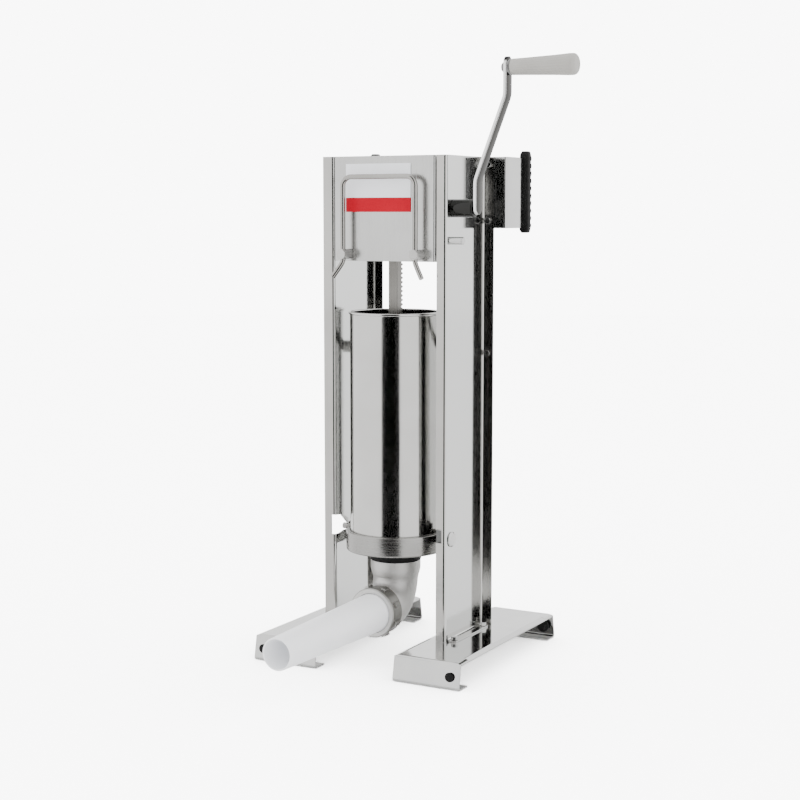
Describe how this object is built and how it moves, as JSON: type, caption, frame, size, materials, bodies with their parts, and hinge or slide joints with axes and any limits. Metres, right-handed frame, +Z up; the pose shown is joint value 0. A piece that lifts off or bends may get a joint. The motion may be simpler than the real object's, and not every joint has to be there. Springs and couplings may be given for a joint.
{
  "type": "sausage stuffer",
  "caption": "Vertical hand-crank sausage stuffer: steel frame, geared rack and piston, upright cylinder, elbow outlet and filling tube.",
  "frame": {"origin": "on the floor plane, under the centre of the outer box, with the crank handle and the filling tube in the box", "axes": "+Z up, -Y to the front where the filling tube points, +X to the side of the crank"},
  "size_m": [0.4968, 0.5784, 0.9502],
  "materials": {
    "polished_steel": "mirror polished stainless steel",
    "satin_steel": "satin stainless steel",
    "dark_steel": "dark machined steel",
    "dark_chrome": "dark polished chrome",
    "cast_steel": "satin cast stainless steel",
    "white_plastic": "smooth white plastic",
    "grey_plastic": "smooth warm-grey plastic",
    "plate_grey": "satin light grey",
    "plate_red": "satin red",
    "black_rubber": "matt black rubber"
  },
  "bodies": {
    "frame": {"base_ring": "satin_steel", "crank_bearing_boss": "dark_chrome", "front_cover": "satin_steel", "gearbox_floor": "satin_steel", "gearbox_rear_cover": "satin_steel", "gearbox_top_cover": "satin_steel", "left_bail_guide": "satin_steel", "left_bearing_plate": "dark_steel", "left_foot": "polished_steel", "left_front_buffer": "black_rubber", "left_front_foot_bolt": "polished_steel", "left_rear_buffer": "black_rubber", "left_rear_foot_bolt": "polished_steel", "left_rear_rest": "polished_steel", "left_rest_edge": "black_rubber", "left_rest_lower_bolt": "polished_steel", "left_rest_upper_bolt": "polished_steel", "left_tie_bolt": "polished_steel", "left_upright": "polished_steel", "name_plate": "plate_grey", "name_plate_band": "plate_red", "outlet_elbow": "cast_steel", "outlet_gasket": "black_rubber", "rack_guide_block": "white_plastic", "rear_tie_bar": "satin_steel", "right_bail_guide": "satin_steel", "right_bearing_plate": "dark_steel", "right_foot": "polished_steel", "right_front_buffer": "black_rubber", "right_front_foot_bolt": "polished_steel", "right_rear_buffer": "black_rubber", "right_rear_foot_bolt": "polished_steel", "right_rear_rest": "polished_steel", "right_rest_edge": "black_rubber", "right_rest_lower_bolt": "polished_steel", "right_rest_upper_bolt": "polished_steel", "right_tie_bolt": "polished_steel", "right_trunnion_block": "dark_steel", "right_upright": "polished_steel", "side_stud": "polished_steel", "trunnion_block_screw": "polished_steel"},
    "crank": {"crank_shaft": "polished_steel", "drive_gear": "dark_steel", "crank_arm": "polished_steel", "grip_spindle": "dark_steel"},
    "grip": {"handle_grip": "grey_plastic"},
    "gear_train": {"gear_shaft": "dark_steel", "large_gear": "dark_steel", "rack_pinion": "dark_steel"},
    "plunger": {"rack": "satin_steel", "piston": "polished_steel", "piston_seal": "black_rubber", "piston_screw": "polished_steel"},
    "valve": {"air_valve": "black_rubber"},
    "bail": {"retaining_bail": "polished_steel"},
    "barrel": {"cylinder": "polished_steel"},
    "tube": {"filling_tube": "white_plastic"},
    "nut": {"ring_nut": "cast_steel"}
  },
  "joints": [
    {"name": "crank_spin", "type": "hinge", "parent": "frame", "child": "crank", "pos_m": [0.08545, 0.05275, 0.7235], "axis": [1, 0, 0], "range_deg": [0, 2880]},
    {"name": "gear_train_spin", "type": "hinge", "parent": "frame", "child": "gear_train", "pos_m": [-0.06355, 0.08875, 0.7235], "axis": [1, 0, 0], "range_deg": [-1441, 1]},
    {"name": "plunger_slide", "type": "slide", "parent": "frame", "child": "plunger", "axis": [0, 0, 1], "range_m": [0, 0.4]},
    {"name": "grip_spin", "type": "hinge", "parent": "crank", "child": "grip", "pos_m": [0.19045, 0.05275, 0.934], "axis": [1, 0, 0], "continuous": true},
    {"name": "valve_lift", "type": "slide", "parent": "plunger", "child": "valve", "axis": [0, 0, 1], "range_m": [0, 0.004]},
    {"name": "bail_slide", "type": "slide", "parent": "frame", "child": "bail", "axis": [0, 0, -1], "range_m": [0, 0.1]},
    {"name": "barrel_lift", "type": "slide", "parent": "frame", "child": "barrel", "axis": [0, 0, 1], "range_m": [0, 0.05]},
    {"name": "tube_pull", "type": "slide", "parent": "frame", "child": "tube", "axis": [0, -1, 0], "range_m": [0, 0.06]},
    {"name": "nut_spin", "type": "hinge", "parent": "tube", "child": "nut", "pos_m": [-0.06355, 0.0018, 0.086], "axis": [0, 1, 0], "continuous": true}
  ],
  "couplings": [
    {"joint": "gear_train_spin", "follows": "crank_spin", "ratio": -0.5},
    {"joint": "plunger_slide", "follows": "crank_spin", "m_per_rad": 0.007875}
  ]
}
